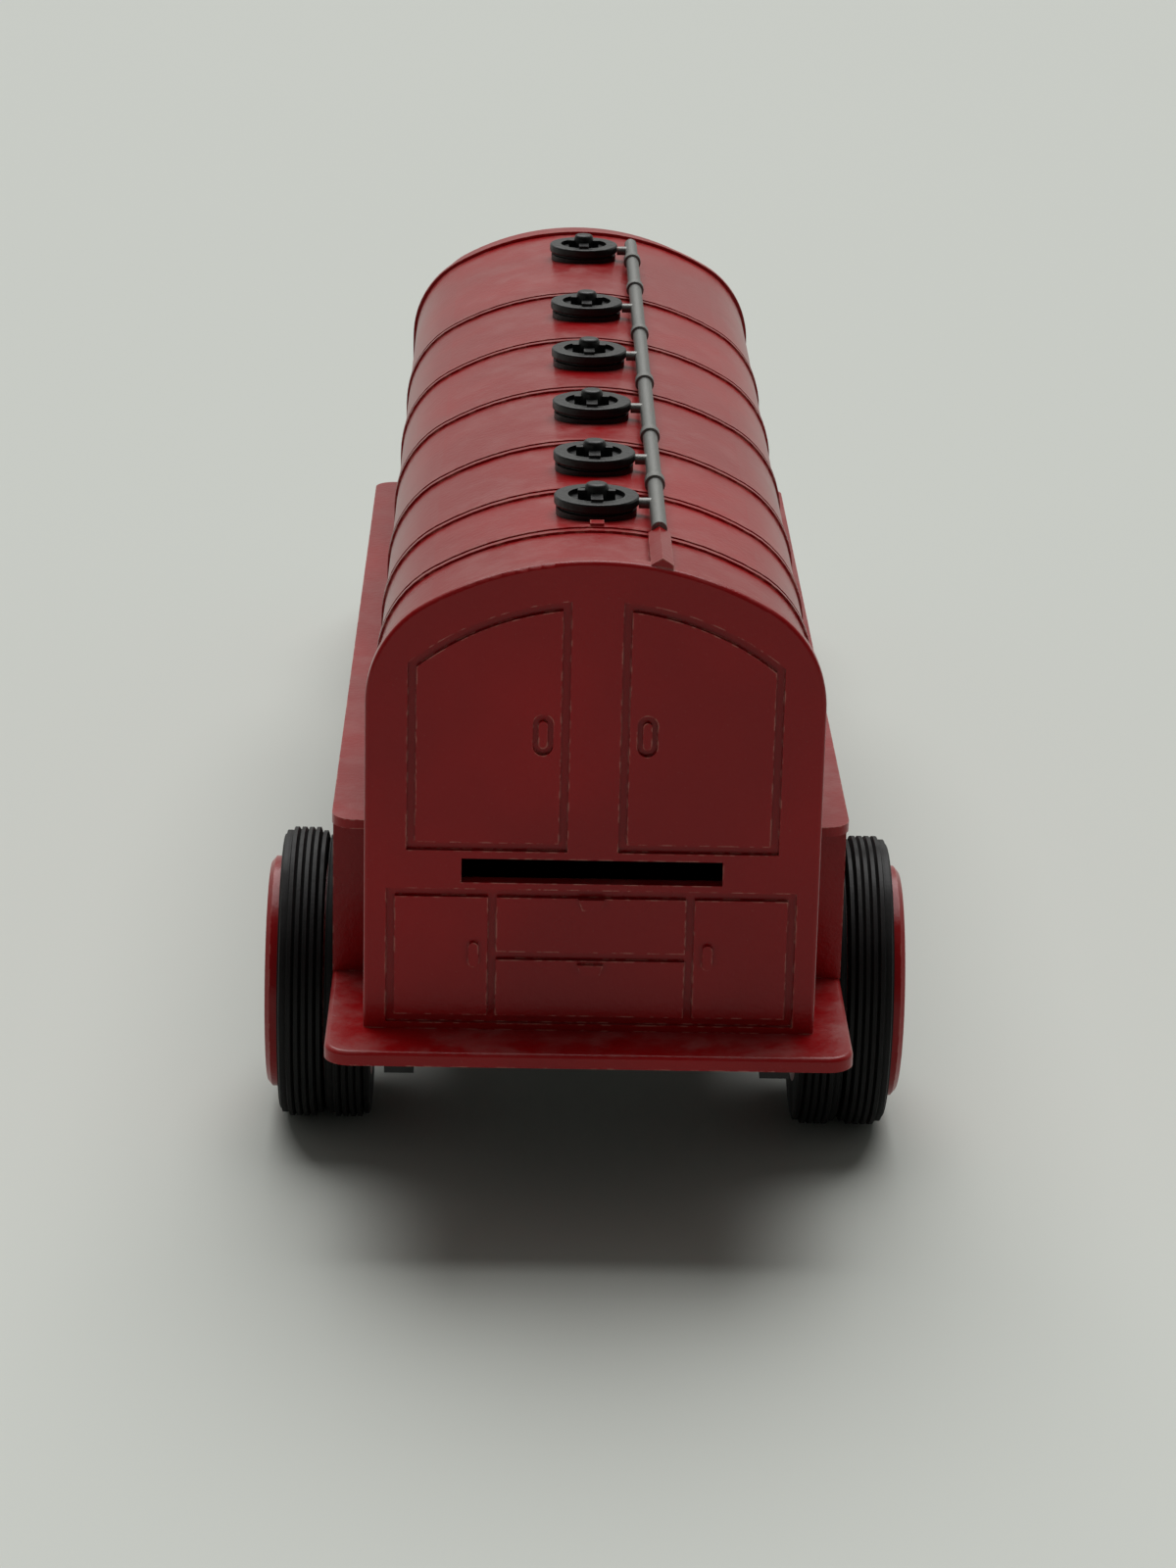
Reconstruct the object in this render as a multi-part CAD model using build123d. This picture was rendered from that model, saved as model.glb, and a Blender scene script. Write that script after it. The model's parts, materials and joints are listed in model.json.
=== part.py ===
"""Toy fuel tanker truck whose tank is a coin bank. Millimetres, +Z up, +Y to the front, +X to the right.

The origin is on the ground, under the middle of the truck. Heights are from the ground, and lengths
along the truck are measured forward from the rear panel with at().
"""

import os
from math import atan2, cos, pi, radians, sin

from build123d import *

# ---- overall ----
overall_length = 235.0
step_overhang = 6.3
panel_y = step_overhang - overall_length / 2
ground_to_deck = 22.45
deck_thickness = 1.5
deck_half = 26.2
base_thickness = 1.6
plug_running_gap = 0.1

# ---- tank ----
panel_half = 22.5
panel_rise = 48.7
spring_rise = 34.0
crown_radius = 33.0
tank_inset = 0.9
wall = 1.5
panel_thickness = 1.6
tank_end = 159.4
bulkhead_thickness = 1.6
seam_places = [14.6, 29.9, 49.6, 73.8, 98.2, 122.8]
seam_rib = 0.7
seam_gap = 0.7
seam_height = 0.25

# ---- rear panel relief ----
groove = 0.85
groove_depth = 0.5
slot_half, slot_rise, slot_height = 12.9, 15.6, 2.5
door_inner, door_outer, door_bottom, door_margin = 2.5, 18.35, 18.9, 4.0
handle_x, handle_rise = 5.1, 31.0
locker_half, locker_bottom, locker_top = 20.3, 0.7, 14.9
drawer_half, drawer_split = 9.8, 7.9
relief = 0.45

# ---- side cabinets ----
cabinet_rear, cabinet_front = 15.5, 143.0
shelf_top = 40.65
shelf_thickness = 1.0
shelf_overhang = 4.8
cabinet_wall = 1.2
cabinet_doors = 4

# ---- hatches and filling pipe ----
hatch_places = [21.8, 39.3, 61.6, 86.5, 111.7, 145.2]
hatch_lid_radius, hatch_neck_radius, hatch_flange_radius = 4.3, 3.75, 4.1
hatch_neck_height, hatch_lid_height = 0.75, 1.0
hatch_recess_radius, hatch_recess_depth = 2.9, 0.5
hatch_knob_radius, hatch_knob_height = 1.2, 1.7
hatch_peg_radius = 1.2
fit = 0.05
pipe_x, pipe_radius = 6.1, 0.78
pipe_start, pipe_end = 12.0, 149.0
collar_radius, collar_length, collar_lift = 1.05, 1.7, 0.12
bed_rise = 0.12

# ---- wheels ----
tyre_radius, tyre_seat_radius = 15.5, 11.0
tyre_ribs = 6
rear_axle, front_axle = 33.0, 207.0
axle_radius = 1.5
dual_inner, dual_tyre_width, dual_gap = 22.6, 4.65, 0.3
front_inner, front_tyre_width = 17.4, 4.6
disc_radius, disc_depth = 12.35, 1.4
arch_gap = 1.5
hub_radius, hub_gap = 3.0, 0.3

# ---- base ----
base_half = 21.3
base_start, base_end = 1.0, 222.0
rail_inner, rail_outer, rail_depth = 17.5, 20.5, 3.4
front_rail_inner, front_rail_outer, front_base_half = 12.6, 15.6, 16.6
narrow_from = 189.5
bearing_length, bearing_bottom = 9.0, 11.5
coin_hole_radius, coin_hole_place = 14.0, 95.0
plug_flange = 1.6
plug_lug_reach = 1.6
screw_x, screw_radius, screw_head_radius = 12.0, 1.25, 2.4
boss_radius, boss_height, screw_reach = 3.5, 9.0, 6.0
screw_places = [4.9, 156.1, 185.3]

# ---- cab, hood and front ----
cab_half, cab_top, cab_spring, cab_crown = 20.4, 65.2, 53.0, 32.0
cab_start, cab_end, cab_wall = 162.0, 190.0, 1.4
window_sill, window_head = 44.5, 57.5
hood_end, hood_wall = 219.0, 1.3
hood_rear = (15.2, 47.5, 39.0, 22.0)
hood_front = (11.4, 45.5, 37.0, 17.0)
radiator_depth = 3.6
radiator_shell = (12.6, 47.6, 38.5, 18.5)
lamp_x, lamp_place, lamp_z, lamp_radius, lamp_length = 16.8, 213.0, 39.0, 4.2, 6.0
fender_inner, fender_outer, fender_thickness = 15.6, 22.9, 1.2
board_top, board_rear, board_outer = 13.6, 150.0, 26.4
bumper_half, bumper_low, bumper_high, bumper_depth = 24.5, 12.2, 16.4, 2.4

deck_under = ground_to_deck - deck_thickness
base_under = deck_under - base_thickness
tank_crown = ground_to_deck + panel_rise - tank_inset
axle_z = tyre_radius
arch_radius = tyre_radius + arch_gap


def at(from_panel):
    """Y of a place measured forward from the rear panel."""
    return panel_y + from_panel


def block(x0, x1, y0, y1, z0, z1):
    """A box between two corners; its y values are measured from the rear panel."""
    size = Box(x1 - x0, y1 - y0, z1 - z0)
    return Pos((x0 + x1) / 2, at((y0 + y1) / 2), (z0 + z1) / 2) * size


def along_y(sketch, y0, y1):
    """A sketch of (x, z) drawn out along the truck from y0 to y1."""
    return Pos(0, at(y1), 0) * Plane.XZ.location * extrude(sketch, y1 - y0)


def along_x(sketch, x0, x1):
    """A sketch of (y, z) drawn out across the truck from x0 to x1."""
    return Pos(x0, 0, 0) * Plane.YZ.location * extrude(sketch, x1 - x0)


def rod_x(radius, x0, x1, place, z):
    """A rod across the truck."""
    return along_x(Pos(at(place), z) * Circle(radius), x0, x1)


def rod_y(radius, y0, y1, x, z):
    """A rod along the truck."""
    return along_y(Pos(x, z) * Circle(radius), y0, y1)


def rod_z(radius, x, place, z0, z1):
    """An upright rod."""
    return Pos(x, at(place), z0) * extrude(Circle(radius), z1 - z0)


def arch(half, top, spring, crown, bottom, inset=0.0):
    """A face with upright sides, tight shoulders and a flat crown, moved in by inset."""
    rise = spring - (top - crown)
    shoulder = (crown**2 - half**2 - rise**2) / (2 * (crown - half))
    centre_x = half - shoulder
    turn = atan2(rise, centre_x)
    small, large = shoulder - inset, crown - inset
    low = top - crown
    meet = (large * cos(turn), low + large * sin(turn))
    corner = (centre_x + small * cos(turn / 2), spring + small * sin(turn / 2))
    side = centre_x + small
    line = Polyline((-side, spring), (-side, bottom), (side, bottom), (side, spring))
    line += ThreePointArc((side, spring), corner, meet)
    line += ThreePointArc(meet, (0, low + large), (-meet[0], meet[1]))
    line += ThreePointArc((-meet[0], meet[1]), (-corner[0], corner[1]), (-side, spring))
    return make_face(line)


def tank_arch(inset, bottom=ground_to_deck):
    """The tank's section, moved in from the rear panel's outline."""
    top = ground_to_deck + panel_rise
    spring = ground_to_deck + spring_rise
    return arch(panel_half, top, spring, crown_radius, bottom, inset)


def turned(points, place, z):
    """A profile of (x, radius) turned about a cross axis."""
    face = Plane.XZ * make_face(Polyline(*points, close=True))
    return Pos(0, at(place), z) * revolve(face, axis=Axis.X)


def mirrored(shape, side):
    """The right-hand piece, or its mirror image for side -1."""
    return shape if side > 0 else mirror(shape, about=Plane.YZ)


def together(shapes):
    """Several like solids in one node."""
    return Compound(children=[solid for shape in shapes for solid in shape.solids()])


def save(node, shape):
    """Write one node."""
    export_step(shape, f"parts/{node}.step")


# ---- rear panel ----
def frame_line(face_of, width=groove):
    """The band between an outline and the same outline moved in."""
    return face_of(0.0) - face_of(width)


def door_face(inset):
    """The right-hand door's outline."""
    width = door_outer - door_inner - 2 * inset
    tall = panel_rise - door_bottom
    middle = (door_inner + door_outer) / 2
    panel = Pos(middle, ground_to_deck + door_bottom + inset + tall / 2) * Rectangle(width, tall)
    crown_z = ground_to_deck + panel_rise - crown_radius
    return panel & (Pos(0, crown_z) * Circle(crown_radius - door_margin - inset))


def locker_face(inset):
    """The outline round the low lockers."""
    tall = locker_top - locker_bottom - 2 * inset
    middle = ground_to_deck + (locker_bottom + locker_top) / 2
    return Pos(0, middle) * Rectangle(2 * (locker_half - inset), tall)


def rear_cover():
    """The rear panel with its coin slot, engraved doors, lockers and screw bosses."""
    panel = along_y(tank_arch(0), 0, panel_thickness)
    rear_edges = panel.edges().group_by(Axis.Y)[0].filter_by(lambda e: e.center().Z > ground_to_deck + 1)
    panel = fillet(rear_edges, 0.45)
    door = frame_line(door_face)
    lines = door + mirror(door, about=Plane.YZ) + frame_line(locker_face)
    tall = locker_top - locker_bottom
    middle = ground_to_deck + (locker_bottom + locker_top) / 2
    for x in (-drawer_half, drawer_half):
        lines += Pos(x, middle) * Rectangle(groove, tall)
    lines += Pos(0, ground_to_deck + drawer_split) * Rectangle(2 * drawer_half, groove)
    for x in (-handle_x, handle_x):
        pocket = SlotOverall(4.2, 2.0, rotation=90) - SlotOverall(2.8, 0.9, rotation=90)
        lines += Pos(x, ground_to_deck + handle_rise) * pocket
    panel -= along_y(lines, -1, groove_depth)
    slot_z = ground_to_deck + slot_rise
    panel -= block(-slot_half, slot_half, -1, panel_thickness + 1, slot_z, slot_z + slot_height)
    for rise in (13.5, 6.6):
        pull = Trapezoid(2.6, 1.1, 70, rotation=180)
        panel += along_y(Pos(0, ground_to_deck + rise) * pull, -relief, 0.1)
    for x in (-11.6, 11.6):
        panel += along_y(Pos(x, ground_to_deck + 8.1) * SlotOverall(2.6, 1.0, rotation=90), -relief, 0.1)
    panel += pipe_root(0.3, panel_thickness)
    for x in (-screw_x, screw_x):
        boss = rod_z(boss_radius, x, screw_places[0], ground_to_deck, ground_to_deck + boss_height)
        panel += boss
        panel -= rod_z(screw_radius, x, screw_places[0], 0, ground_to_deck + screw_reach)
    return panel


def pipe_root(start, end):
    """The cast block with a gabled top that the filling pipe leaves."""
    low, shoulder, peak = tank_crown - 1.2, tank_crown + 0.55, tank_crown + 1.25
    outline = Polyline(
        (pipe_x - 1.1, low), (pipe_x + 1.1, low), (pipe_x + 1.1, shoulder), (pipe_x, peak),
        (pipe_x - 1.1, shoulder), close=True,
    )
    return along_y(make_face(outline), start, end)


# ---- tank ----
def tank_shell():
    """The arched tank, open below and at both ends, with double seam ribs and the pipe's bed."""
    shell = along_y(tank_arch(tank_inset), panel_thickness, tank_end)
    for place in seam_places:
        for side in (-1, 1):
            middle = place + side * (seam_rib + seam_gap) / 2
            rib = tank_arch(tank_inset - seam_height, shelf_top)
            shell += along_y(rib, middle - seam_rib / 2, middle + seam_rib / 2)
    bed_top = tank_crown + bed_rise
    shell += block(pipe_x - 0.6, pipe_x + 0.6, pipe_start, pipe_end + 1, bed_top - 2.0, bed_top)
    shell += pipe_root(panel_thickness, pipe_start)
    shell -= along_y(tank_arch(tank_inset + wall, 0), 0, tank_end + 1)
    for place in hatch_places:
        shell -= rod_z(hatch_peg_radius + fit, 0, place, tank_crown - 4, tank_crown + 1)
    shell += block(-0.7, 0.7, hatch_places[0] - 6.6, hatch_places[0] - 5.2, tank_crown - 1, tank_crown + 0.5)
    return shell


def front_bulkhead():
    """The tank's front end, with its screw bosses."""
    plate = along_y(tank_arch(0.5), tank_end, tank_end + bulkhead_thickness)
    front = plate.edges().group_by(Axis.Y)[-1].filter_by(lambda e: e.center().Z > ground_to_deck + 1)
    plate = fillet(front, 0.7)
    for x in (-screw_x, screw_x):
        plate += rod_z(boss_radius, x, screw_places[1], ground_to_deck, ground_to_deck + boss_height)
        plate -= rod_z(screw_radius, x, screw_places[1], 0, ground_to_deck + screw_reach)
    return plate


# ---- hatches and pipe ----
def hatch_neck(place):
    """A filler neck that sits on the tank's crown, with a peg through its wall."""
    seat = tank_crown + 0.45
    neck = rod_z(hatch_flange_radius, 0, place, tank_crown - 0.6, seat)
    neck += rod_z(hatch_neck_radius, 0, place, seat, tank_crown + hatch_neck_height)
    neck -= along_y(tank_arch(tank_inset), place - 9, place + 9)
    return neck + rod_z(hatch_peg_radius, 0, place, tank_crown - wall - 0.6, seat)


def hatch_lid(place):
    """A dished lid with a strap and a clamp knob."""
    low = tank_crown + hatch_neck_height
    top = low + hatch_lid_height
    lid = rod_z(hatch_lid_radius, 0, place, low, top)
    lid = fillet(lid.edges(), 0.2)
    lid -= rod_z(hatch_recess_radius, 0, place, top - hatch_recess_depth, top + 1)
    lid += block(-0.6, 0.6, place - 3.2, place + 3.2, top - hatch_recess_depth, top + 0.3)
    lid += block(-1.9, 1.9, place - 0.45, place + 0.45, top - hatch_recess_depth, top + 0.5)
    knob = rod_z(hatch_knob_radius, 0, place, top - hatch_recess_depth, top - hatch_recess_depth + hatch_knob_height)
    return lid + fillet(knob.edges().group_by(Axis.Z)[-1], 0.45)


def pipe_height():
    """The pipe's centre, where it lies on its bed."""
    return tank_crown + bed_rise + pipe_radius


def fill_pipe():
    """The filling pipe, with a rounded far end that turns down to its bed."""
    z = pipe_height()
    pipe = rod_y(pipe_radius, pipe_start, pipe_end, pipe_x, z)
    return pipe + Pos(pipe_x, at(pipe_end), z) * Sphere(pipe_radius)


def pipe_collars():
    """The sleeve joints on the pipe."""
    z = pipe_height()
    bed = block(pipe_x - 3, pipe_x + 3, pipe_start, tank_end, 0, z - pipe_radius + collar_lift)
    rings = []
    for place in seam_places[1:] + [pipe_end - 10.0]:
        ring = rod_y(collar_radius, place - collar_length / 2, place + collar_length / 2, pipe_x, z)
        ring -= rod_y(pipe_radius, place - 3, place + 3, pipe_x, z)
        rings.append(ring - bed)
    return together(rings)


def pipe_spigots():
    """The short branch from the pipe to each hatch."""
    z = pipe_height()
    stubs = []
    for place in hatch_places:
        stub = rod_x(0.55, hatch_neck_radius, pipe_x, place, z)
        stub -= rod_y(pipe_radius, place - 3, place + 3, pipe_x, z)
        stub -= rod_z(hatch_lid_radius, 0, place, z - 3, z + 3)
        stubs.append(stub)
    return together(stubs)


# ---- deck and cabinets ----
def wheel_space(place, x0, x1):
    """The room that a turning wheel needs."""
    return rod_x(arch_radius, x0, x1, place, axle_z)


def deck():
    """The deck and rear step, notched for the inner rear tyres and open over the coin plug."""
    rear = -step_overhang
    plate = block(-deck_half, deck_half, rear, tank_end + bulkhead_thickness, deck_under, ground_to_deck)
    corners = plate.edges().filter_by(Axis.Z).group_by(Axis.Y)[0]
    plate = fillet(corners, 2.6)
    step = plate.edges().group_by(Axis.Z)[-1].filter_by(lambda e: e.center().Y < at(-step_overhang + 2.7))
    plate = fillet(step, 0.5)
    for side in (-1, 1):
        plate -= mirrored(wheel_space(rear_axle, dual_inner - 0.6, 40), side)
    plate -= rod_z(coin_hole_radius + plug_lug_reach + 0.9, 0, coin_hole_place, 0, 40)
    for place in screw_places[:2]:
        for x in (-screw_x, screw_x):
            plate -= rod_z(screw_radius, x, place, 0, 40)
    return plate


def side_cabinet(side):
    """A cabinet shell: outer wall, ends and shelf, with engraved doors and a wheel arch."""
    inner = panel_half - tank_inset
    shelf_low = shelf_top - shelf_thickness
    shelf = block(inner, deck_half, cabinet_rear - shelf_overhang, cabinet_front, shelf_low, shelf_top)
    outer = shelf.edges().filter_by(Axis.Z).group_by(Axis.X)[-1]
    shelf = fillet(outer, 2.4)
    body = block(inner, deck_half, cabinet_rear, cabinet_front, ground_to_deck, shelf_low + 0.2)
    front = body.edges().filter_by(Axis.Z).group_by(Axis.X)[-1].group_by(Axis.Y)[-1]
    body = fillet(front, 2.4)
    hollow = block(inner - 1, deck_half - cabinet_wall, cabinet_rear + cabinet_wall,
                   cabinet_front - cabinet_wall - 1.2, 0, shelf_low)
    body = body - hollow + shelf
    body -= wheel_space(rear_axle, inner - 1, 40)
    start, pitch = 54.0, (cabinet_front - 5.0 - 54.0) / cabinet_doors
    for door in range(cabinet_doors):
        middle = start + pitch * (door + 0.5)
        outline = Rectangle(pitch - 2.0, 13.0) - Rectangle(pitch - 2.0 - 2 * groove, 13.0 - 2 * groove)
        body -= along_x(Pos(at(middle), 31.0) * outline, deck_half - 0.35, deck_half + 1)
        body += block(deck_half - 0.2, deck_half + 0.4, middle - 0.5, middle + 0.5, 29.8, 32.2)
    return mirrored(body, side)


# ---- base ----
def rail(inner, outer, start, end, axle_place):
    """One length of rail with its axle bearing."""
    half = bearing_length / 2
    bar = block(inner, outer, start, end, base_under - rail_depth, base_under)
    bar += block(inner, outer, axle_place - half, axle_place + half, bearing_bottom, base_under)
    return bar - rod_x(axle_radius + fit, 0, 40, axle_place, axle_z)


def base_plate():
    """The black base with its two rails, axle bearings and the bank's outlet."""
    plate = block(-base_half, base_half, base_start, base_end, base_under, deck_under)
    for side in (-1, 1):
        plate -= mirrored(block(front_base_half, 30, narrow_from, base_end + 1, 0, 40), side)
        rails = rail(rail_inner, rail_outer, base_start + 3, narrow_from, rear_axle)
        rails += rail(front_rail_inner, front_rail_outer, narrow_from - 0.5, base_end, front_axle)
        plate += mirrored(rails, side)
    plate -= rod_z(coin_hole_radius, 0, coin_hole_place, 0, 40)
    reach = coin_hole_radius + plug_lug_reach + 0.3
    notch = Rectangle(2 * reach, 8.4) & Circle(reach)
    plate -= Pos(0, at(coin_hole_place), base_under - 1) * extrude(notch, base_thickness + 2)
    for place in screw_places:
        for x in (-screw_x, screw_x):
            plate -= rod_z(screw_radius, x, place, 0, 40)
    return plate


def coin_plug():
    """The bank's quarter-turn plug: flange, body, two lugs over the base and a finger grip."""
    top = deck_under
    radius = coin_hole_radius - fit
    flange_top = base_under - plug_running_gap
    reach = coin_hole_radius + plug_lug_reach
    lugs = Rectangle(7.6, 2 * reach) & Circle(reach)
    plug = rod_z(radius, 0, coin_hole_place, flange_top, top + plug_running_gap)
    plug += Pos(0, at(coin_hole_place), top + plug_running_gap) * extrude(lugs, 1.0)
    plug += rod_z(coin_hole_radius + 1.8, 0, coin_hole_place, flange_top - plug_flange, flange_top)
    grip = block(-9, 9, coin_hole_place - 1.1, coin_hole_place + 1.1, flange_top - plug_flange - 2.0,
                 flange_top - plug_flange)
    return plug + fillet(grip.edges().filter_by(Axis.Z), 0.9)


def base_screws():
    """The six screws that hold the base, with a slot in each head."""
    tops = [seat + screw_reach for seat in (ground_to_deck, ground_to_deck, deck_under)]
    screws = []
    for place, top in zip(screw_places, tops):
        for x in (-screw_x, screw_x):
            screw = rod_z(screw_radius, x, place, base_under, top)
            screw += rod_z(screw_head_radius, x, place, base_under - 1.3, base_under)
            screw -= block(x - 3, x + 3, place - 0.3, place + 0.3, base_under - 2, base_under - 0.8)
            screws.append(screw)
    return together(screws)


# ---- wheels ----
def tyre(inner, width, place, side):
    """A tyre whose tread has fine ribs all round."""
    pitch = width / tyre_ribs
    points = [(inner, tyre_seat_radius), (inner, tyre_radius - 0.7)]
    for rib in range(tyre_ribs):
        x = inner + rib * pitch
        crown = tyre_radius - (0.35 if rib in (0, tyre_ribs - 1) else 0.0)
        points += [(x + 0.12, crown), (x + pitch - 0.26, crown), (x + pitch - 0.14, crown - 0.4)]
    points += [(inner + width, tyre_radius - 0.8), (inner + width, tyre_seat_radius)]
    return mirrored(turned(points, place, axle_z), side)


def wheel(inner, outer, place, side, hub_from, spacer=None):
    """A pressed wheel: tyre seat, dished disc with a rolled rim, hub and wheel nuts."""
    face = outer + disc_depth
    dish = outer - 0.9
    points = [
        (hub_from, axle_radius), (hub_from, hub_radius), (outer - 2.6, hub_radius + 0.4),
        (outer - 2.6, tyre_seat_radius - 1.3), (inner, tyre_seat_radius - 1.3), (inner, tyre_seat_radius),
        (outer, tyre_seat_radius), (outer, disc_radius), (face - 0.5, disc_radius), (face, disc_radius - 0.6),
        (face - 0.1, disc_radius - 1.9), (dish + 0.3, disc_radius - 3.0), (dish, 6.0), (dish + 1.0, 4.6),
        (dish + 1.1, hub_radius), (face - 0.2, hub_radius - 0.5), (face - 0.2, axle_radius),
    ]
    body = turned(points, place, axle_z)
    if spacer:
        body += rod_x(tyre_seat_radius + 0.8, spacer, spacer + dual_gap, place, axle_z) - rod_x(
            tyre_seat_radius - 0.2, spacer - 1, spacer + 2, place, axle_z)
    for nut in range(6):
        angle = radians(60 * nut + 30)
        y, z = at(place) + 3.9 * cos(angle), axle_z + 3.9 * sin(angle)
        body += along_x(Pos(y, z) * RegularPolygon(0.62, 6), dish + 0.5, dish + 1.7)
    return mirrored(body, side)


def axle(half, place):
    """A steel axle."""
    return rod_x(axle_radius, -half, half, place, axle_z)


# ---- cab and front ----
def cab_arch(inset, bottom):
    """The cab's section."""
    return arch(cab_half, cab_top, cab_spring, cab_crown, bottom, inset)


def cab():
    """The cab shell with its windows, door lines, visor and screw bosses."""
    shell = along_y(cab_arch(0, deck_under), cab_start, cab_end)
    rims = shell.edges().filter_by(lambda e: e.center().Z > cab_spring - 8 and abs(e.bounding_box().size.Y) < 1)
    shell = fillet(rims, 1.2)
    shell -= along_y(cab_arch(cab_wall, 0), cab_start + cab_wall, cab_end - cab_wall)
    for x in (-9.0, 9.0):
        shell -= along_y(windscreen_light(x), cab_end - 4, cab_end + 2)
    shell -= along_y(rear_light(), cab_start - 2, cab_start + 4)
    for side in (-1, 1):
        window = Pos(at(173.5), (window_sill + window_head) / 2) * RectangleRounded(
            14.0, window_head - window_sill, 1.6)
        shell -= mirrored(along_x(window, cab_half - 5, cab_half + 2), side)
        outline = Rectangle(18.0, 33.0) - Rectangle(18.0 - 2 * groove, 33.0 - 2 * groove)
        line = along_x(Pos(at(174.5), 41.5) * outline, cab_half - 0.35, cab_half + 2)
        shell -= mirrored(line, side)
        handle = block(cab_half - 0.1, cab_half + 0.7, 167.5, 170.5, 40.6, 41.4)
        shell += mirrored(handle, side)
    visor = arch(cab_half - 1.5, cab_top - 3.2, cab_spring, cab_crown - 1.5, 58.6) - arch(
        cab_half - 2.5, cab_top - 4.2, cab_spring, cab_crown - 2.5, 0)
    shell += along_y(visor, cab_end - 0.5, cab_end + 2.0)
    for x in (-screw_x, screw_x):
        shell += rod_z(boss_radius, x, screw_places[2], deck_under, deck_under + boss_height)
        shell -= rod_z(screw_radius, x, screw_places[2], 0, deck_under + screw_reach)
    return shell


def windscreen_light(x):
    """One of the windscreen's two openings."""
    return Pos(x, (window_sill + window_head) / 2 + 4.2) * RectangleRounded(15.6, 7.8, 1.4)


def rear_light():
    """The rear window's opening."""
    return Pos(0, 56.0) * RectangleRounded(16.0, 7.0, 1.5)


def windscreen():
    """The two clear panes in the front of the cab."""
    middle = cab_end - cab_wall / 2
    return together([along_y(windscreen_light(x), middle - 0.35, middle + 0.35) for x in (-9.0, 9.0)])


def rear_window():
    """The clear pane behind the seat."""
    middle = cab_start + cab_wall / 2
    return along_y(rear_light(), middle - 0.35, middle + 0.35)


def seat():
    """A bench seat with a backrest, standing on the base."""
    low = block(-16.5, 16.5, 164.2, 175.0, deck_under, 33.5)
    back = block(-16.5, 16.5, 164.2, 167.2, 33.5, 47.5)
    body = low + back
    return fillet(body.edges().filter_by(Axis.X), 0.9)


def steering_column():
    """The column, from the front wall towards the driver."""
    path = Pos(-9.0, at(cab_end - cab_wall), 37.0) * Rot(62, 0, 0)
    return path * Pos(0, 0, 4.0) * Cylinder(0.7, 8.0) - block(
        -20, 0, cab_end - cab_wall, cab_end + 9, 0, 60)


def steering_wheel():
    """The rim, spokes and hub on the column's end."""
    place = Pos(-9.0, at(cab_end - cab_wall), 37.0) * Rot(62, 0, 0) * Pos(0, 0, 8.5)
    ring = Torus(4.4, 0.45) + Cylinder(1.0, 1.0)
    for turn in range(3):
        ring += Rot(0, 0, 120 * turn + 90) * Pos(2.3, 0, 0) * Box(4.2, 0.6, 0.5)
    return place * ring


def hood_loft(inset, bottom, past=0.0):
    """The hood's outer or inner shape, tapering to the radiator."""
    faces = []
    for size, place in ((hood_rear, cab_end - past), (hood_front, hood_end + past)):
        faces.append(Pos(0, at(place), 0) * Plane.XZ.location * arch(*size, bottom, inset))
    return loft(faces)


def hood():
    """The hood shell, with a row of louvres each side and a hinge line along the top."""
    shell = hood_loft(0, deck_under) - hood_loft(hood_wall, 0, 1.0)
    for louvre in range(8):
        place = 196.0 + 2.5 * louvre
        shell -= block(-18, 18, place, place + 0.8, 28.0, 36.0)
    ends = ((cab_end, hood_rear[1]), (hood_end, hood_front[1]))
    hinge = [Pos(0, at(place), top) * Plane.XZ.location * Rectangle(0.8, 0.6) for place, top in ends]
    return shell + loft(hinge)


def radiator_face(inset, bottom):
    """The radiator's outline."""
    return arch(*radiator_shell, bottom, inset)


def radiator():
    """The radiator's shell, with its filler cap."""
    shell = along_y(radiator_face(0, deck_under), hood_end, hood_end + radiator_depth)
    front = shell.edges().group_by(Axis.Y)[-1].filter_by(lambda e: e.center().Z > deck_under + 1)
    shell = fillet(front, 0.6)
    shell -= along_y(radiator_face(1.8, deck_under + 2.5), hood_end + 0.8, hood_end + radiator_depth + 1)
    shell += rod_z(1.5, 0, hood_end + 1.8, radiator_shell[1] - 0.6, radiator_shell[1] + 1.0)
    return shell + rod_z(2.0, 0, hood_end + 1.8, radiator_shell[1] + 1.0, radiator_shell[1] + 1.9)


def grille():
    """The grille's backing with upright bars."""
    back = along_y(radiator_face(1.8, deck_under + 2.5), hood_end + 0.8, hood_end + 1.6)
    opening = along_y(radiator_face(1.8, deck_under + 2.5), hood_end + 1.5, hood_end + 2.8)
    bars = [block(1.5 * n - 0.3, 1.5 * n + 0.3, hood_end + 1.5, hood_end + 2.8, 20, 60) for n in range(-7, 8)]
    for bar in bars:
        back += bar & opening
    return back


def lamp(side):
    """A headlight bowl on its post."""
    rear = lamp_place
    rim = rear + lamp_length
    points = [(0, rear), (1.6, rear + 0.3), (3.0, rear + 1.5), (3.9, rear + 3.4), (lamp_radius, rim - 0.8),
              (lamp_radius, rim), (lamp_radius - 0.7, rim), (lamp_radius - 0.7, rim - 1.6), (0, rim - 2.2)]
    face = make_face(Polyline(*[(r, y) for r, y in points], close=True))
    bowl = Pos(lamp_x, panel_y, lamp_z) * revolve(face, axis=Axis.Y)
    post = rod_z(0.9, lamp_x, rear + 3.0, axle_z, lamp_z - 2.0)
    post -= rod_x(arch_radius + fender_thickness, 0, 2 * lamp_x, front_axle, axle_z)
    return mirrored(bowl + post, side)


def lamp_lens(side):
    """A headlight's crowned lens."""
    rim = lamp_place + lamp_length
    points = [(0, rim - 1.4), (lamp_radius - 0.7, rim - 1.4), (lamp_radius - 0.7, rim - 0.2), (2.2, rim + 0.3),
              (0, rim + 0.5)]
    face = make_face(Polyline(*points, close=True))
    return mirrored(Pos(lamp_x, panel_y, lamp_z) * revolve(face, axis=Axis.Y), side)


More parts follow.
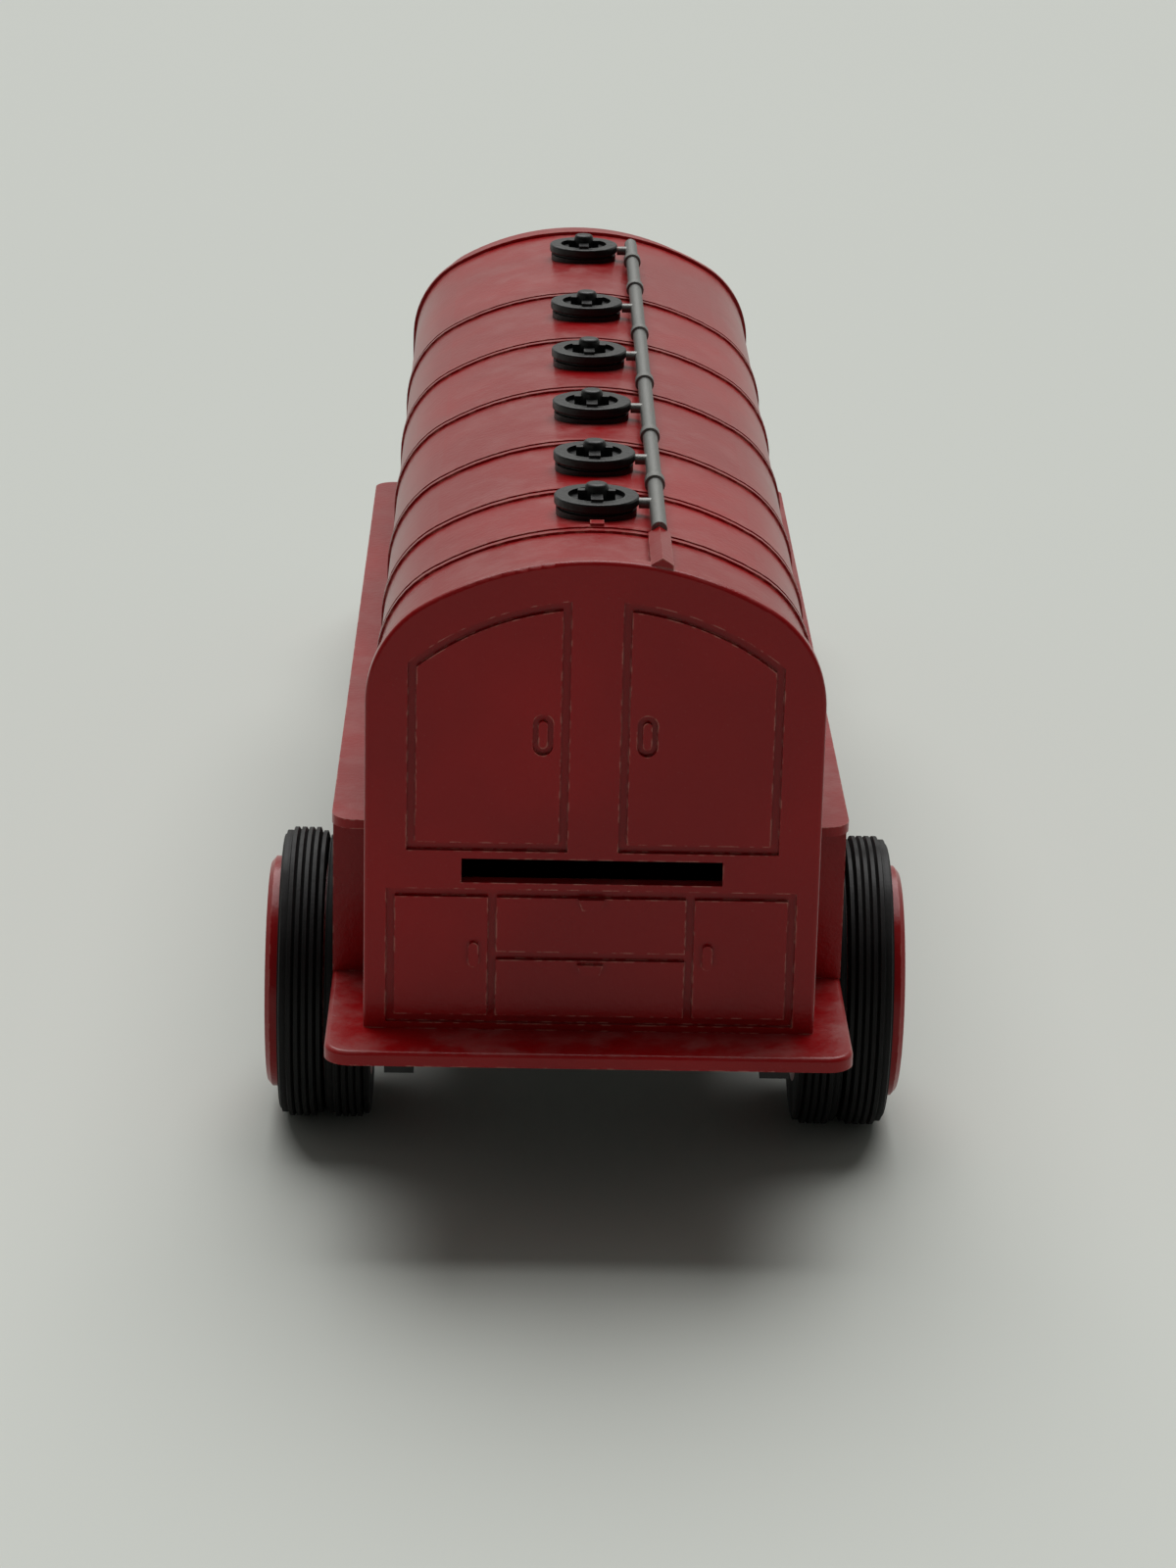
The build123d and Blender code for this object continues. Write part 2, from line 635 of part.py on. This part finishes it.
def fender(side):
    """A front fender that sweeps down into its running board, with an inner apron."""
    outer, middle = arch_radius + fender_thickness, Pos(at(front_axle), axle_z)
    leave = radians(140)
    ring = middle * (Circle(outer) - Circle(arch_radius))
    wedge = make_face(Polyline(
        (at(front_axle), axle_z), (at(front_axle) + 40, axle_z - 8), (at(front_axle) + 40, axle_z + 40),
        (at(front_axle) - 10, axle_z + 40), (at(front_axle) + 40 * cos(leave), axle_z + 40 * sin(leave)),
        close=True,
    ))
    ring &= wedge
    slope = leave + pi / 2
    start_in = (at(front_axle) + arch_radius * cos(leave), axle_z + arch_radius * sin(leave))
    start_out = (at(front_axle) + outer * cos(leave), axle_z + outer * sin(leave))
    board_low = board_top - fender_thickness
    drop_in = (board_low - start_in[1]) / sin(slope)
    drop_out = (board_top - start_out[1]) / sin(slope)
    end_in = (start_in[0] + drop_in * cos(slope), board_low)
    end_out = (start_out[0] + drop_out * cos(slope), board_top)
    tail = make_face(Polyline(
        start_in, end_in, (at(board_rear), board_low), (at(board_rear), board_top), end_out, start_out,
        close=True,
    ))
    body = along_x(ring, fender_inner, fender_outer) + along_x(tail, fender_inner, board_outer)
    apron = middle * Circle(arch_radius + 0.2)
    apron &= Pos(at(front_axle), deck_under + 20) * Rectangle(60, 40)
    body += along_x(apron, fender_inner, fender_inner + 1.0)
    body -= block(0, base_half, board_rear - 1, narrow_from, 0, deck_under)
    body -= block(0, front_base_half, board_rear - 1, overall_length, 0, deck_under)
    body -= block(0, cab_half, board_rear - 1, cab_end, 0, cab_top)
    body += block(base_half, base_half + 1.2, board_rear, board_rear + 2.5, board_low, deck_under)
    return mirrored(body, side)


def bumper():
    """The front bumper bar with its two brackets."""
    front = overall_length - step_overhang
    bar = block(-bumper_half, bumper_half, front - bumper_depth, front, bumper_low, bumper_high)
    bar = fillet(bar.edges().filter_by(Axis.X), 0.7)
    for side in (-1, 1):
        arm = block(front_rail_inner + 0.4, front_rail_outer - 0.4, base_end, front - bumper_depth + 0.2,
                    bumper_low + 1.2, base_under - 1)
        bar += mirrored(arm, side)
    return bar


def build():
    """Write every node."""
    os.makedirs("parts", exist_ok=True)
    save("rear_cover", rear_cover())
    save("tank_shell", tank_shell())
    save("front_bulkhead", front_bulkhead())
    for number, place in enumerate(hatch_places, 1):
        save(f"hatch_neck_{number}", hatch_neck(place))
        save(f"hatch_lid_{number}", hatch_lid(place))
    save("fill_pipe", fill_pipe())
    save("pipe_collars", pipe_collars())
    save("pipe_spigots", pipe_spigots())
    save("deck", deck())
    save("base_plate", base_plate())
    save("base_screws", base_screws())
    save("coin_plug", coin_plug())
    dual_outer = dual_inner + dual_tyre_width + dual_gap
    dual_edge = dual_outer + dual_tyre_width
    front_edge = front_inner + front_tyre_width
    for name, side in (("left", -1), ("right", 1)):
        save(f"side_cabinet_{name}", side_cabinet(side))
        save(f"rear_tyre_inner_{name}", tyre(dual_inner, dual_tyre_width, rear_axle, side))
        save(f"rear_tyre_outer_{name}", tyre(dual_outer, dual_tyre_width, rear_axle, side))
        save(f"front_tyre_{name}", tyre(front_inner, front_tyre_width, front_axle, side))
        hub_from = rail_outer + hub_gap
        spacer = dual_inner + dual_tyre_width
        save(f"rear_wheel_{name}", wheel(dual_inner, dual_edge, rear_axle, side, hub_from, spacer))
        front_hub = front_rail_outer + hub_gap
        save(f"front_wheel_{name}", wheel(front_inner, front_edge, front_axle, side, front_hub))
        save(f"front_fender_{name}", fender(side))
        save(f"headlight_{name}", lamp(side))
        save(f"headlight_lens_{name}", lamp_lens(side))
    save("rear_axle", axle(dual_edge + 0.4, rear_axle))
    save("front_axle", axle(front_edge + 0.4, front_axle))
    save("cab", cab())
    save("windscreen", windscreen())
    save("rear_window", rear_window())
    save("seat", seat())
    save("steering_column", steering_column())
    save("steering_wheel", steering_wheel())
    save("hood", hood())
    save("radiator", radiator())
    save("grille", grille())
    save("bumper", bumper())


build()
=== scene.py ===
"""Finishes, small fittings, floor, light and camera for the toy tanker truck, laid out as an add-on."""

import json
from math import cos, pi, radians, sin

import bmesh
import bpy
from bpy.props import FloatProperty, FloatVectorProperty, IntProperty, PointerProperty
from mathutils import Matrix, Vector


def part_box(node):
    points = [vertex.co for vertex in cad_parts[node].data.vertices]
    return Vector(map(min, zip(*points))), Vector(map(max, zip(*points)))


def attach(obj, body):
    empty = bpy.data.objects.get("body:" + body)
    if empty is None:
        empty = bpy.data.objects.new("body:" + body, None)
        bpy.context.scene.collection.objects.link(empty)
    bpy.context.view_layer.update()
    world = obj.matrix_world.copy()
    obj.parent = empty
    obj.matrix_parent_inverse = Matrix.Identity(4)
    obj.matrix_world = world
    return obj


bl_info = {
    "name": "Toy tanker truck finish",
    "version": (1, 0, 0),
    "blender": (4, 5, 0),
    "location": "3D View > Sidebar > Tanker",
    "description": "Paints the toy tanker truck, adds its small fittings and sets the stage",
    "category": "Object",
}

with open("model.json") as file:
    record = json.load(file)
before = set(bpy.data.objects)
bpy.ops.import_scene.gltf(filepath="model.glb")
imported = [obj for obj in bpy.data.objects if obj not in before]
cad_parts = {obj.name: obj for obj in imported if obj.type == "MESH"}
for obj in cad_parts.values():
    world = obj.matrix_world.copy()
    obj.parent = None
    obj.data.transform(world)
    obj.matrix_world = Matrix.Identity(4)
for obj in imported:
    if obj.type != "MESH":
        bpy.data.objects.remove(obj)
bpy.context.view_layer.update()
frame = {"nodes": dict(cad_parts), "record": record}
NODES = frame["nodes"]
MM = 0.001

# hub caps: how far inside the wheel's face they stand, their depth, and the upright share of it
CAP_INSET = 0.75 * MM
CAP_DEPTH = 0.72 * MM
CAP_SKIRT = 0.35
CAP_ARC = [radians(15 * n) for n in range(1, 6)]

# running board ribs: the board's top, their ends along the fender, and their section
BOARD_TOP = 13.6 * MM
RIB_START = 3.2 * MM
RIB_END = 29 * MM
RIB_HALF = 0.25 * MM
RIB_RISE = 0.35 * MM
RIB_SINK = 0.05 * MM
RIB_BEVEL = 0.1 * MM

# room: its tint, what it shows to the camera, the least that gloss sees, and where ahead begins and ends
ROOM_TINT = (1.0, 1.02, 0.97, 1.0)
ROOM_SEEN = 0.57
GLOSS_FLOOR = 0.07
AHEAD = (-0.35, 0.75)
KEY_PLACE = (0.0, 0.5, 1.0)
KEY_ANGLE = radians(58)
FLOOR_HALF = 4.0

# camera: its turns in radians, and its place from the rear panel's outer face
PITCH, YAW, ROLL = 0.329, 0.019, 0.023
PANEL_THICKNESS = 1.6 * MM
EYE_SIDE = -8.2 * MM
EYE_BACK = 399.4 * MM
EYE_HEIGHT = 184.9 * MM


# ---- shader maths ----
class Wire:
    """A socket that takes part in Python expressions; each operator adds its Math node."""

    def __init__(self, sheet, socket):
        self.sheet, self.socket = sheet, socket

    def maths(self, operation, *others):
        """A Math node whose first value is this socket."""
        return self.sheet.node("ShaderNodeMath", {"operation": operation}, dict(enumerate((self, *others))))

    def __add__(self, other):
        return self.maths("ADD", other)

    __radd__ = __add__

    def __rsub__(self, other):
        return self.sheet.node("ShaderNodeMath", {"operation": "SUBTRACT"}, {0: other, 1: self})

    def __mul__(self, other):
        return self.maths("MULTIPLY", other)

    __rmul__ = __mul__

    def step(self, low, high):
        """0 below low, 1 above high, smooth between."""
        settings = {"interpolation_type": "SMOOTHSTEP"}
        return self.sheet.node("ShaderNodeMapRange", settings, {0: self, 1: low, 2: high, 3: 0.0, 4: 1.0})


class Sheet:
    """A node tree and the ways to add to it."""

    def __init__(self, tree):
        self.tree = tree

    def fill(self, socket, value):
        """Set a socket's value, or link it."""
        if isinstance(value, Wire):
            self.tree.links.new(value.socket, socket)
        else:
            socket.default_value = value

    def node(self, kind, settings, values, output=0):
        """Any node: its settings first, then the values or links of its sockets."""
        made = self.tree.nodes.new(kind)
        for name, value in settings.items():
            setattr(made, name, value)
        for key, value in values.items():
            self.fill(made.inputs[key], value)
        return Wire(self, made.outputs[output])

    def axis(self, name, source):
        """One coordinate of a point or direction."""
        return self.node("ShaderNodeSeparateXYZ", {}, {0: source}, name)


class Room(Sheet):
    """The world's node tree."""

    def __init__(self, tree):
        super().__init__(tree)
        tree.nodes.clear()


class Finish(Sheet):
    """One material and the nodes that make it."""

    def __init__(self, name, color, rough, metal=0.0):
        self.material = bpy.data.materials.new(name)
        self.material.use_nodes = True
        super().__init__(self.material.node_tree)
        self.shader = self.tree.nodes["Principled BSDF"]
        self.put("Base Color", (*color, 1.0))
        self.put("Roughness", rough)
        self.put("Metallic", metal)
        self.material.diffuse_color = (*color, 1.0)
        self.place = self.node("ShaderNodeTexCoord", {}, {}, "Object")

    def put(self, socket, value):
        """Set or link one socket of the shader."""
        self.fill(self.shader.inputs[socket], value)

    def noise(self, scale, detail=3.0, rough=0.5):
        """Noise over the object, in features per metre."""
        return self.node(
            "ShaderNodeTexNoise", {},
            {"Vector": self.place, "Scale": scale, "Detail": detail, "Roughness": rough})

    def mix(self, factor, first, second):
        """A colour between two colours."""
        mixer = self.tree.nodes.new("ShaderNodeMix")
        mixer.data_type = "RGBA"
        sockets = {s.identifier: s for s in mixer.inputs}
        for name, value in (("Factor_Float", factor), ("A_Color", first), ("B_Color", second)):
            self.fill(sockets[name], (*value, 1.0) if isinstance(value, tuple) else value)
        return Wire(self, next(s for s in mixer.outputs if s.identifier == "Result_Color"))

    def facing_up(self):
        """1 where the surface faces up, 0 where it is upright or faces down."""
        normal = self.node("ShaderNodeNewGeometry", {}, {}, "Normal")
        return self.axis("Z", normal).step(0.25, 0.95)

    def edge(self, radius, low=0.01, high=0.12):
        """1 along the piece's sharp edges."""
        plain = self.node("ShaderNodeNewGeometry", {}, {}, "Normal")
        soft = self.node("ShaderNodeBevel", {"samples": 6}, {"Radius": radius})
        alike = self.node("ShaderNodeVectorMath", {"operation": "DOT_PRODUCT"}, {0: plain, 1: soft}, "Value")
        return (1.0 - alike).step(low, high)

    def bump(self, height, distance, strength=1.0):
        """Fine relief."""
        values = {"Height": height, "Distance": distance, "Strength": strength}
        self.put("Normal", self.node("ShaderNodeBump", {}, values))


def red_paint(look):
    """Gloss enamel on cast metal: orange peel, dust with a painted sheen on what faces up, pale rubbed edges
    that are partly a painted edge highlight.
    """
    red = tuple(look.red)
    paint = Finish("red_enamel", red, 0.3)
    broad = paint.noise(38.0, 4.0)
    deep = tuple(c * 0.78 for c in red)
    color = paint.mix(broad.step(0.35, 0.7), deep, red)
    speck = paint.noise(2600.0, 2.0).step(0.66, 0.76)
    # Upward faces go pale pink: partly dust, partly a painted sheen standing in for the glossy reflection on
    # tops.
    haze = paint.noise(210.0, 5.0, 0.65).step(0.4, 0.75)
    dust_and_sheen = paint.facing_up() * haze * look.dust_and_sheen
    color = paint.mix(dust_and_sheen, color, (0.36, 0.17, 0.16))
    color = paint.mix(speck * 0.08, color, (0.4, 0.14, 0.12))
    # Edges go pale: partly paint rubbed off, partly a painted highlight along the edges.
    broken = paint.noise(900.0, 3.0).step(0.46, 0.62)
    wear_and_edge_highlight = paint.edge(0.00028) * broken * look.wear_and_edge_highlight
    color = paint.mix(wear_and_edge_highlight, color, (0.62, 0.3, 0.24))
    paint.put("Base Color", color)
    paint.put("Roughness", 0.24 + broad * 0.1 + dust_and_sheen * 0.25)
    paint.put("Coat Weight", 0.1)
    paint.put("Coat Roughness", 0.16)
    paint.put("Specular IOR Level", 0.2)
    peel = paint.noise(1500.0, 2.0) + paint.noise(5200.0, 1.0) * 0.35
    paint.bump(peel, 0.00006, 0.55)
    return paint.material


def black_plastic(look):
    """Moulded plastic with a fine grain, greyer and rubbed where it faces up."""
    black = tuple(look.black)
    plastic = Finish("black_moulding", black, 0.38)
    scuff = plastic.noise(900.0, 4.0).step(0.42, 0.75)
    top = plastic.facing_up() * (0.35 + scuff * 0.5)
    color = plastic.mix(top * 0.5, black, (0.022, 0.021, 0.02))
    color = plastic.mix(plastic.edge(0.0002) * scuff * 0.5, color, (0.07, 0.068, 0.064))
    plastic.put("Base Color", color)
    plastic.put("Roughness", 0.34 + scuff * 0.2)
    plastic.put("Specular IOR Level", 0.3)
    plastic.bump(plastic.noise(4200.0, 2.0), 0.00004, 0.5)
    return plastic.material


def silver_paint(look):
    """Brushed-on silver with thin spots where the red shows."""
    silver = tuple(look.silver)
    paint = Finish("silver_paint", silver, 0.42, 0.55)
    flake = paint.noise(5200.0, 2.0)
    thin = paint.noise(520.0, 4.0).step(0.66, 0.74)
    color = paint.mix(flake.step(0.3, 0.7), tuple(c * 0.7 for c in silver), silver)
    paint.put("Base Color", paint.mix(thin * 0.75, color, tuple(look.red)))
    paint.put("Metallic", 0.6 - thin * 0.6)
    paint.put("Roughness", 0.36 + flake * 0.16)
    paint.bump(flake, 0.00004, 0.6)
    return paint.material


def tyre_rubber(look):
    """Moulded rubber, dusty in broad patches."""
    rubber = Finish("tyre_rubber", (0.004, 0.004, 0.004), 0.62)
    patch = rubber.noise(160.0, 5.0).step(0.4, 0.75)
    color = rubber.mix(patch * 0.35, (0.003, 0.003, 0.0032), (0.014, 0.013, 0.012))
    rubber.put("Base Color", rubber.mix(rubber.edge(0.00015) * 0.3, color, (0.03, 0.029, 0.027)))
    rubber.put("Roughness", 0.56 + patch * 0.22)
    rubber.put("Specular IOR Level", 0.25)
    rubber.bump(rubber.noise(3200.0, 3.0), 0.00005, 0.6)
    return rubber.material


def bright_steel(look):
    """Turned steel with fine rings and a little tarnish."""
    steel = Finish("turned_steel", (0.5, 0.5, 0.51), 0.3, 1.0)
    stain = steel.noise(420.0, 4.0).step(0.45, 0.8)
    steel.put("Base Color", steel.mix(stain, (0.52, 0.52, 0.53), (0.3, 0.27, 0.24)))
    steel.put("Roughness", 0.26 + stain * 0.25)
    steel.bump(steel.noise(6000.0, 1.0), 0.00002, 0.5)
    return steel.material


def chrome_trim(look):
    """Vacuum-plated trim with soft spots."""
    chrome = Finish("bright_trim", (0.68, 0.68, 0.7), 0.12, 1.0)
    haze = chrome.noise(300.0, 4.0).step(0.4, 0.8)
    chrome.put("Base Color", chrome.mix(haze, (0.7, 0.7, 0.72), (0.52, 0.52, 0.53)))
    chrome.put("Roughness", 0.1 + haze * 0.16)
    chrome.bump(chrome.noise(2400.0, 2.0), 0.00002, 0.4)
    return chrome.material


def seat_grain(look):
    """Grained dark seat."""
    seat = Finish("seat_grain", (0.03, 0.026, 0.022), 0.6)
    grain = seat.node("ShaderNodeTexVoronoi", {}, {"Vector": seat.place, "Scale": 1400.0})
    seat.put("Base Color", seat.mix(grain, (0.022, 0.019, 0.016), (0.05, 0.042, 0.035)))
    seat.put("Roughness", 0.5 + grain * 0.2)
    seat.bump(grain, 0.0001, 0.6)
    return seat.material


def clear_plastic(look):
    """Clear moulded panes, faintly hazy."""
    clear = Finish("clear_moulding", (0.9, 0.93, 0.94), 0.06)
    haze = clear.noise(350.0, 3.0).step(0.4, 0.8)
    clear.put("Roughness", 0.05 + haze * 0.08)
    clear.put("Alpha", 0.28 + haze * 0.08)
    clear.put("Coat Weight", 0.6)
    return clear.material


FINISHES = {
    "red_paint": red_paint,
    "black_plastic": black_plastic,
    "silver_paint": silver_paint,
    "tyre_rubber": tyre_rubber,
    "bright_steel": bright_steel,
    "chrome_trim": chrome_trim,
    "seat_plastic": seat_grain,
    "clear_plastic": clear_plastic,
}
SLOT_OF = {part["node"]: part["material_slot"] for part in frame["record"]["subparts"]}
made = {}


def finish(slot):
    """The material of a slot, made once."""
    if slot not in made:
        made[slot] = FINISHES[slot](bpy.context.scene.tanker_look)
    return made[slot]


# ---- mesh helpers ----
def piece(name, build, body, slot, bevel=0.0):
    """A new mesh piece from a bmesh builder, with its finish, riding on a body."""
    mesh = bpy.data.meshes.new(name)
    shape = bmesh.new()
    build(shape)
    bmesh.ops.recalc_face_normals(shape, faces=shape.faces)
    shape.to_mesh(mesh)
    shape.free()
    thing = bpy.data.objects.new(name, mesh)
    bpy.context.scene.collection.objects.link(thing)
    if bevel:
        rounder = thing.modifiers.new("rounded", "BEVEL")
        rounder.width = bevel
        rounder.segments = 2
    mesh.materials.append(finish(slot))
    mesh.shade_smooth()
    thing.modifiers.new("facets", "WEIGHTED_NORMAL").keep_sharp = True
    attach(thing, body)
    return thing


def lathe(shape, profile, centre, axis, turns=48):
    """Turn a profile of (distance along axis, radius) about an axis through centre."""
    spin = Vector(axis).to_track_quat("Z", "Y").to_matrix()
    rings = []
    for along, radius in profile:
        if radius < 1e-7:
            rings.append([shape.verts.new(centre + spin @ Vector((0, 0, along)))])
            continue
        ring = []
        for step in range(turns):
            angle = 2 * pi * step / turns
            spot = Vector((radius * cos(angle), radius * sin(angle), along))
            ring.append(shape.verts.new(centre + spin @ spot))
        rings.append(ring)
    for low, high in zip(rings, rings[1:]):
        for step in range(turns):
            after = (step + 1) % turns
            corners = [low[step % len(low)], low[after % len(low)]]
            corners += [high[after % len(high)], high[step % len(high)]]
            unique = [v for n, v in enumerate(corners) if v not in corners[:n]]
            if len(unique) > 2:
                shape.faces.new(unique)


def slab(shape, low, high):
    """A box between two corners."""
    size = Vector(high) - Vector(low)
    middle = (Vector(high) + Vector(low)) / 2
    bmesh.ops.create_cube(shape, size=1.0, matrix=Matrix.Translation(middle) @ Matrix.Diagonal((*size, 1.0)))


# ---- settings ----
class TANKER_PG_look(bpy.types.PropertyGroup):
    """Colours and ageing of the truck's finishes, with the painted sheen on tops and the painted edge
    highlights.
    """

    red: FloatVectorProperty(
        name="Red", description="Enamel colour", subtype="COLOR", default=(0.33, 0.003, 0.005))
    black: FloatVectorProperty(
        name="Black", description="Plastic colour", subtype="COLOR", default=(0.005, 0.005, 0.005))
    silver: FloatVectorProperty(
        name="Silver", description="Pipe paint colour", subtype="COLOR", default=(0.2, 0.2, 0.19))
    # Strength of the dust and of the painted sheen on upward faces.
    dust_and_sheen: FloatProperty(name="Dust", description="Dust on upward faces", default=0.35, min=0.0, max=1.0)
    # Strength of the rubbed edges and of the painted edge highlight.
    wear_and_edge_highlight: FloatProperty(name="Wear", description="Paint rubbed off edges", default=0.5, min=0.0, max=1.0)


class TANKER_PG_fittings(bpy.types.PropertyGroup):
    """Sizes of the small fittings."""

    cap_radius: FloatProperty(
        name="Hub cap radius", description="Radius of each hub cap", default=2.3 * MM, subtype="DISTANCE",
        unit="LENGTH")
    tread_ribs: IntProperty(
        name="Step ribs", description="Ribs along each running board", default=4, min=1, max=6)


class TANKER_PG_stage(bpy.types.PropertyGroup):
    """Floor and light."""

    floor: FloatVectorProperty(
        name="Floor", description="Floor colour", subtype="COLOR", default=(0.58, 0.6, 0.56))
    key_power: FloatProperty(name="Key", description="Strength of the main lamp", default=2.9)
    sheen: FloatProperty(
        name="Sheen", description="Brightness ahead that gloss shows", default=0.4, min=0.0, max=1.0)
    ambient: FloatProperty(name="Ambient", description="Light from all round", default=0.13, min=0.0, max=1.0)
    lens: FloatProperty(name="Lens", description="Focal length in millimetres", default=99.0)


# ---- operators ----
class TANKER_OT_paint_castings(bpy.types.Operator):
    """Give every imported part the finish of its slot"""

    bl_idname = "tanker.paint_castings"
    bl_label = "Finish the packed parts"

    def execute(self, context):
        for name, part in NODES.items():
            part.data.materials.clear()
            part.data.materials.append(finish(SLOT_OF[name]))
        return {"FINISHED"}


class TANKER_OT_hub_caps(bpy.types.Operator):
    """Add a domed cap over each axle end"""

    bl_idname = "tanker.hub_caps"
    bl_label = "Hub caps"

    def execute(self, context):
        radius = context.scene.tanker_fittings.cap_radius
        for end, body in (("rear", "rear_wheels"), ("front", "front_wheels")):
            for side, sign in (("left", -1), ("right", 1)):
                low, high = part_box(f"{end}_wheel_{side}")
                face = high.x if sign > 0 else low.x
                centre = Vector((face - sign * CAP_INSET, (low.y + high.y) / 2, (low.z + high.z) / 2))
                profile = [(0, 0), (0, radius), (CAP_DEPTH * CAP_SKIRT, radius)]
                for a in CAP_ARC:
                    profile.append((CAP_DEPTH * (CAP_SKIRT + (1 - CAP_SKIRT) * sin(a)), radius * cos(a)))
                profile.append((CAP_DEPTH, 0))
                piece(f"{end}_hub_cap_{side}", lambda s, p=profile, c=centre, x=sign: lathe(s, p, c, (x, 0, 0)),
                      body, "chrome_trim")
        return {"FINISHED"}


class TANKER_OT_step_ribs(bpy.types.Operator):
    """Add raised tread ribs to both running boards"""

    bl_idname = "tanker.step_ribs"
    bl_label = "Running board ribs"

    def execute(self, context):
        count = context.scene.tanker_fittings.tread_ribs
        for side, sign in (("left", -1), ("right", 1)):
            low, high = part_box(f"front_fender_{side}")
            outer = max(abs(low.x), abs(high.x))
            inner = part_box("base_plate")[1].x
            start, end = low.y + RIB_START, low.y + RIB_END

            def ribs(shape, sign=sign, outer=outer, inner=inner):
                pitch = (outer - inner) / (count + 1)
                for rib in range(count):
                    x = sign * (inner + pitch * (rib + 1))
                    low_corner = (x - RIB_HALF, start, BOARD_TOP - RIB_SINK)
                    slab(shape, low_corner, (x + RIB_HALF, end, BOARD_TOP + RIB_RISE))

            piece(f"step_ribs_{side}", ribs, "truck", "black_plastic", RIB_BEVEL)
        return {"FINISHED"}


class TANKER_OT_stage(bpy.types.Operator):
    """Lay the floor, hang the lamps and place the camera"""

    bl_idname = "tanker.stage"
    bl_label = "Stage"

    def execute(self, context):
        stage = context.scene.tanker_stage
        floor_sheet(stage)
        room_light(stage)
        camera(stage)
        context.scene.view_settings.view_transform = "Standard"
        return {"FINISHED"}


def floor_sheet(stage):
    """A wide pale floor."""
    mesh = bpy.data.meshes.new("floor")
    shape = bmesh.new()
    bmesh.ops.create_grid(shape, x_segments=1, y_segments=1, size=FLOOR_HALF)
    shape.to_mesh(mesh)
    shape.free()
    floor = bpy.data.objects.new("floor", mesh)
    bpy.context.scene.collection.objects.link(floor)
    paper = Finish("floor_paper", tuple(stage.floor), 0.85)
    paper.put("Base Color", paper.mix(
        paper.noise(3.0, 2.0), tuple(c * 0.98 for c in stage.floor), tuple(stage.floor)))
    mesh.materials.append(paper.material)


def room_light(stage):
    """A wide soft lamp high over the truck's front, in a room that is bright ahead and dim behind."""
    key = bpy.data.lights.new("key", "SUN")
    key.energy = stage.key_power
    key.angle = KEY_ANGLE
    lamp = bpy.data.objects.new("key", key)
    bpy.context.scene.collection.objects.link(lamp)
    lamp.location = KEY_PLACE
    lamp.rotation_euler = (-lamp.location).to_track_quat("-Z", "Y").to_euler()
    world = bpy.data.worlds.new("room")
    bpy.context.scene.world = world
    world.use_nodes = True
    room = Room(world.node_tree)
    path = {name: room.node("ShaderNodeLightPath", {}, {}, name) for name in
            ("Is Camera Ray", "Is Glossy Ray", "Is Transmission Ray")}
    ahead = room.axis("Y", room.node("ShaderNodeTexCoord", {}, {}, "Generated")).step(*AHEAD)
    clear = path["Is Camera Ray"].maths("MAXIMUM", path["Is Transmission Ray"])
    mirrored = path["Is Glossy Ray"] * (GLOSS_FLOOR + ahead * stage.sheen)
    plain = (1.0 - path["Is Glossy Ray"]) * stage.ambient
    strength = clear * ROOM_SEEN + (1.0 - clear) * (mirrored + plain)
    background = room.node("ShaderNodeBackground", {}, {0: ROOM_TINT, 1: strength})
    out = room.tree.nodes.new("ShaderNodeOutputWorld")
    room.tree.links.new(background.socket, out.inputs[0])


def camera(stage):
    """Behind the truck, a little left of its middle and looking down along the tank."""
    view = bpy.data.cameras.new("camera")
    view.lens = stage.lens
    view.sensor_width = 36.0
    ahead = Vector((sin(YAW) * cos(PITCH), cos(YAW) * cos(PITCH), -sin(PITCH)))
    right = Vector((cos(YAW), -sin(YAW), 0))
    up = right.cross(ahead)
    turned_right = right * cos(ROLL) + up * sin(ROLL)
    turned_up = up * cos(ROLL) - right * sin(ROLL)
    eye = bpy.data.objects.new("camera", view)
    bpy.context.scene.collection.objects.link(eye)
    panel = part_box("tank_shell")[0].y - PANEL_THICKNESS
    place = Vector((EYE_SIDE, panel - EYE_BACK, EYE_HEIGHT))
    turn = Matrix((turned_right, turned_up, -ahead)).transposed()
    eye.matrix_world = Matrix.Translation(place) @ turn.to_4x4()
    bpy.context.scene.camera = eye


class TANKER_PT_panel(bpy.types.Panel):
    """Lists the truck's making steps"""

    bl_idname = "TANKER_PT_panel"
    bl_label = "Tanker truck"
    bl_space_type = "VIEW_3D"
    bl_region_type = "UI"
    bl_category = "Tanker"

    def draw(self, context):
        for step in STEPS:
            self.layout.operator(step.bl_idname)
        for group in ("tanker_look", "tanker_fittings", "tanker_stage"):
            settings = getattr(context.scene, group)
            for name in settings.__annotations__:
                self.layout.prop(settings, name)


GROUPS = {
    "tanker_look": TANKER_PG_look,
    "tanker_fittings": TANKER_PG_fittings,
    "tanker_stage": TANKER_PG_stage,
}
STEPS = (TANKER_OT_paint_castings, TANKER_OT_hub_caps, TANKER_OT_step_ribs, TANKER_OT_stage)


def register():
    """Register the settings, steps and panel."""
    for kind in (*GROUPS.values(), *STEPS, TANKER_PT_panel):
        bpy.utils.register_class(kind)
    for name, group in GROUPS.items():
        setattr(bpy.types.Scene, name, PointerProperty(type=group))


def unregister():
    """Undo register."""
    for name in GROUPS:
        delattr(bpy.types.Scene, name)
    for kind in reversed((*GROUPS.values(), *STEPS, TANKER_PT_panel)):
        bpy.utils.unregister_class(kind)


def main():
    """Run every step."""
    register()
    for step in STEPS:
        family, name = step.bl_idname.split(".")
        getattr(getattr(bpy.ops, family), name)()


if __name__ == "__main__":
    main()
